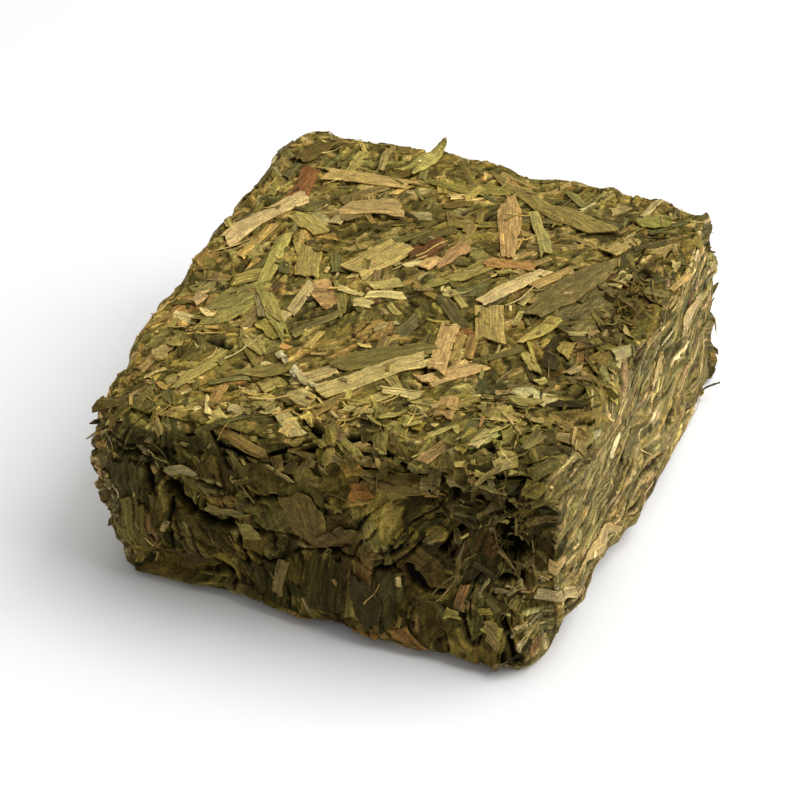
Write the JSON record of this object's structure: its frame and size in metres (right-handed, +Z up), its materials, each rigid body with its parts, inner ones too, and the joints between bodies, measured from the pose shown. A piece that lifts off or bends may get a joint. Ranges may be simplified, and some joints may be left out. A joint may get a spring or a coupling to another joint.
{
  "type": "compressed hay block",
  "caption": "Uneven brick of chopped straw, grass blades and torn leaf pressed into one lump, with rough layered sides, loose flakes on its skin and a flat underside.",
  "frame": {"origin": "middle of the outer box's underside, on the surface that the block rests on", "axes": "+Z up, +Y along the block's long side towards its back, +X to the right of its front"},
  "size_m": [0.1202, 0.1412, 0.0535],
  "materials": {
    "pressed_hay": "dry crushed hay, matte, olive brown",
    "straw": "dry straw, fine ribs along it, slight sheen",
    "leaf_green": "dry grass blade, olive green, faint ribs",
    "leaf_brown": "dry broken leaf, brown olive, matte",
    "bark": "dry stem skin, pinkish tan to red brown"
  },
  "bodies": {
    "root": {"pressed_block": "pressed_hay", "leaf_corner_back": "leaf_brown", "shred_red_brown": "bark", "straw_long_left": "straw", "straw_back_left": "straw", "strip_tan_back": "straw", "chip_yellow_back": "straw", "curl_back": "leaf_green", "blade_green_back": "leaf_green", "blade_long_back": "leaf_green", "leaf_tan_upright": "straw", "straw_thin_upright": "straw", "chip_green_right": "leaf_green", "chip_tan_right": "straw", "leaf_broad_left": "leaf_green", "straw_upright_left": "straw", "chip_triangle_left": "straw", "leaf_green_left": "leaf_green", "straw_ribbed_mid": "straw", "blade_pink_mid": "bark", "blade_olive_mid": "leaf_green", "chip_orange": "bark", "leaf_brown_right": "leaf_brown", "straw_arc": "straw", "stem_cut": "straw", "blade_yellow_right": "straw", "leaf_broad_centre": "leaf_green", "straw_long_front": "straw", "straw_pink_upright": "bark", "straw_pink_cross": "bark", "leaf_arch_front": "leaf_brown", "blade_yellow_left": "straw", "chip_tan_left": "bark", "chip_striped_front": "straw", "chip_pink": "bark", "leaf_torn_near": "leaf_brown", "straw_pale_pair": "straw", "corner_tuft": "leaf_brown", "leaf_fold_front": "leaf_brown", "leaf_bundle_upper": "leaf_brown", "leaf_bundle_lower": "leaf_green", "leaf_smooth_front": "leaf_brown", "leaf_smooth_low": "leaf_brown", "leaf_yellow_front": "straw", "leaf_side_left": "leaf_brown", "leaf_base_left": "leaf_brown", "leaf_dark_low": "leaf_brown", "straw_low_front": "straw", "leaf_right_high": "straw", "straw_right_pale": "straw", "leaf_right_mid": "leaf_brown", "blade_right_low": "straw", "blade_left_high": "leaf_green", "straw_left_low": "straw", "blade_back_high": "leaf_brown", "straw_back_low": "straw"}
  },
  "joints": []
}
